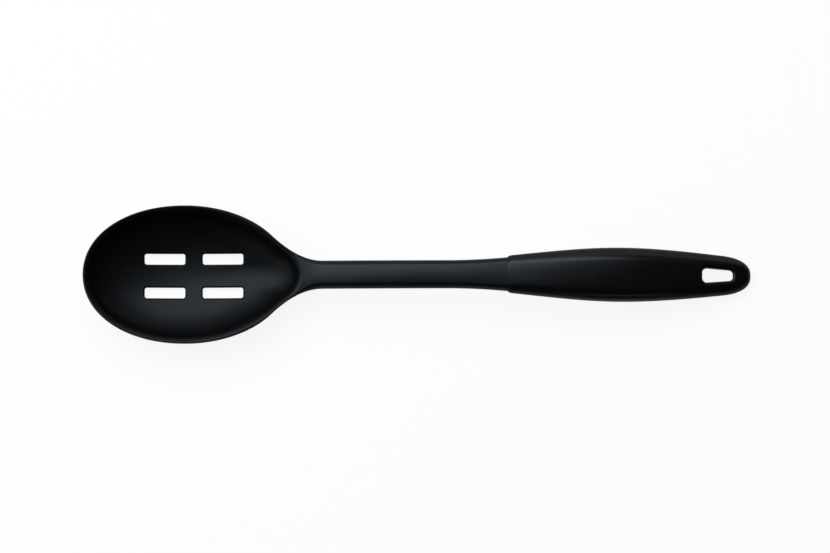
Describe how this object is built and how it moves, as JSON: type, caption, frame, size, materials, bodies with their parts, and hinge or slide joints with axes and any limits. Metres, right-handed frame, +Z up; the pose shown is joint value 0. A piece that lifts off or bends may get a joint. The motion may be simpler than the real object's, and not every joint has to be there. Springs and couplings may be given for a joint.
{
  "type": "slotted spoon",
  "caption": "Slotted cooking spoon with an oval bowl, drain slots, a slim shaft and a soft-grip handle with a hang hole.",
  "frame": {"origin": "on the table, under the middle of the spoon's length and width", "axes": "+X along the spoon from the bowl's tip to the handle's end, +Z up out of the bowl"},
  "size_m": [0.33, 0.0684, 0.0271],
  "materials": {
    "nylon": "satin black moulded nylon with a fine grain",
    "core_plastic": "plain dark moulded plastic, hidden inside the grip",
    "grip_rubber": "soft satin black elastomer"
  },
  "bodies": {
    "root": {"nylon_blade": "nylon", "handle_core": "core_plastic", "soft_grip": "grip_rubber"}
  },
  "joints": []
}
